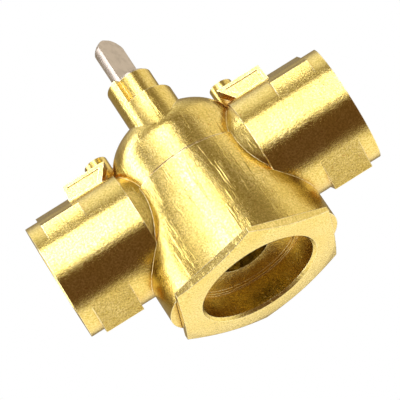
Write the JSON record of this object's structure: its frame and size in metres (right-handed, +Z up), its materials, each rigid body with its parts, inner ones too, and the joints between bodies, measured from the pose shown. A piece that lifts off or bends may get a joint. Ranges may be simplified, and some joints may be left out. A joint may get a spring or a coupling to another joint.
{
  "type": "zone valve",
  "caption": "Three-way zone valve body in forged brass: two in-line side ports, a hex bottom port, and a half-round stem that swings a rubber ball between the side seats.",
  "frame": {"origin": "centre of the bottom hex face, at the lowest point of the valve", "axes": "+Z up the stem, +X along the run through the two side ports, -Y towards the stem's side"},
  "size_m": [0.092, 0.0538, 0.08],
  "materials": {
    "forged_brass": "shot-blasted, tumbled",
    "turned_brass": "turned, satin",
    "stainless": "satin",
    "black_seal": "matt",
    "white_plastic": "matt"
  },
  "bodies": {
    "housing": {"valve_body": "forged_brass", "bottom_port_fitting": "turned_brass", "fitting_gasket": "black_seal", "seat_ring_a": "turned_brass", "seat_ring_b": "turned_brass", "stem_bushing": "turned_brass"},
    "spindle": {"stem": "stainless", "stem_o_ring_lower": "black_seal", "stem_o_ring_upper": "black_seal", "thrust_washer": "white_plastic", "stem_clip": "stainless", "paddle_arm": "stainless", "paddle_pin": "stainless", "plug_ball": "black_seal", "plug_rivet": "stainless", "plug_washer": "stainless"}
  },
  "joints": [
    {"name": "stem_turn", "type": "hinge", "parent": "housing", "child": "spindle", "pos_m": [0, -0.0108, 0.0305], "axis": [0, 0, 1], "range_deg": [-33, 33]}
  ]
}
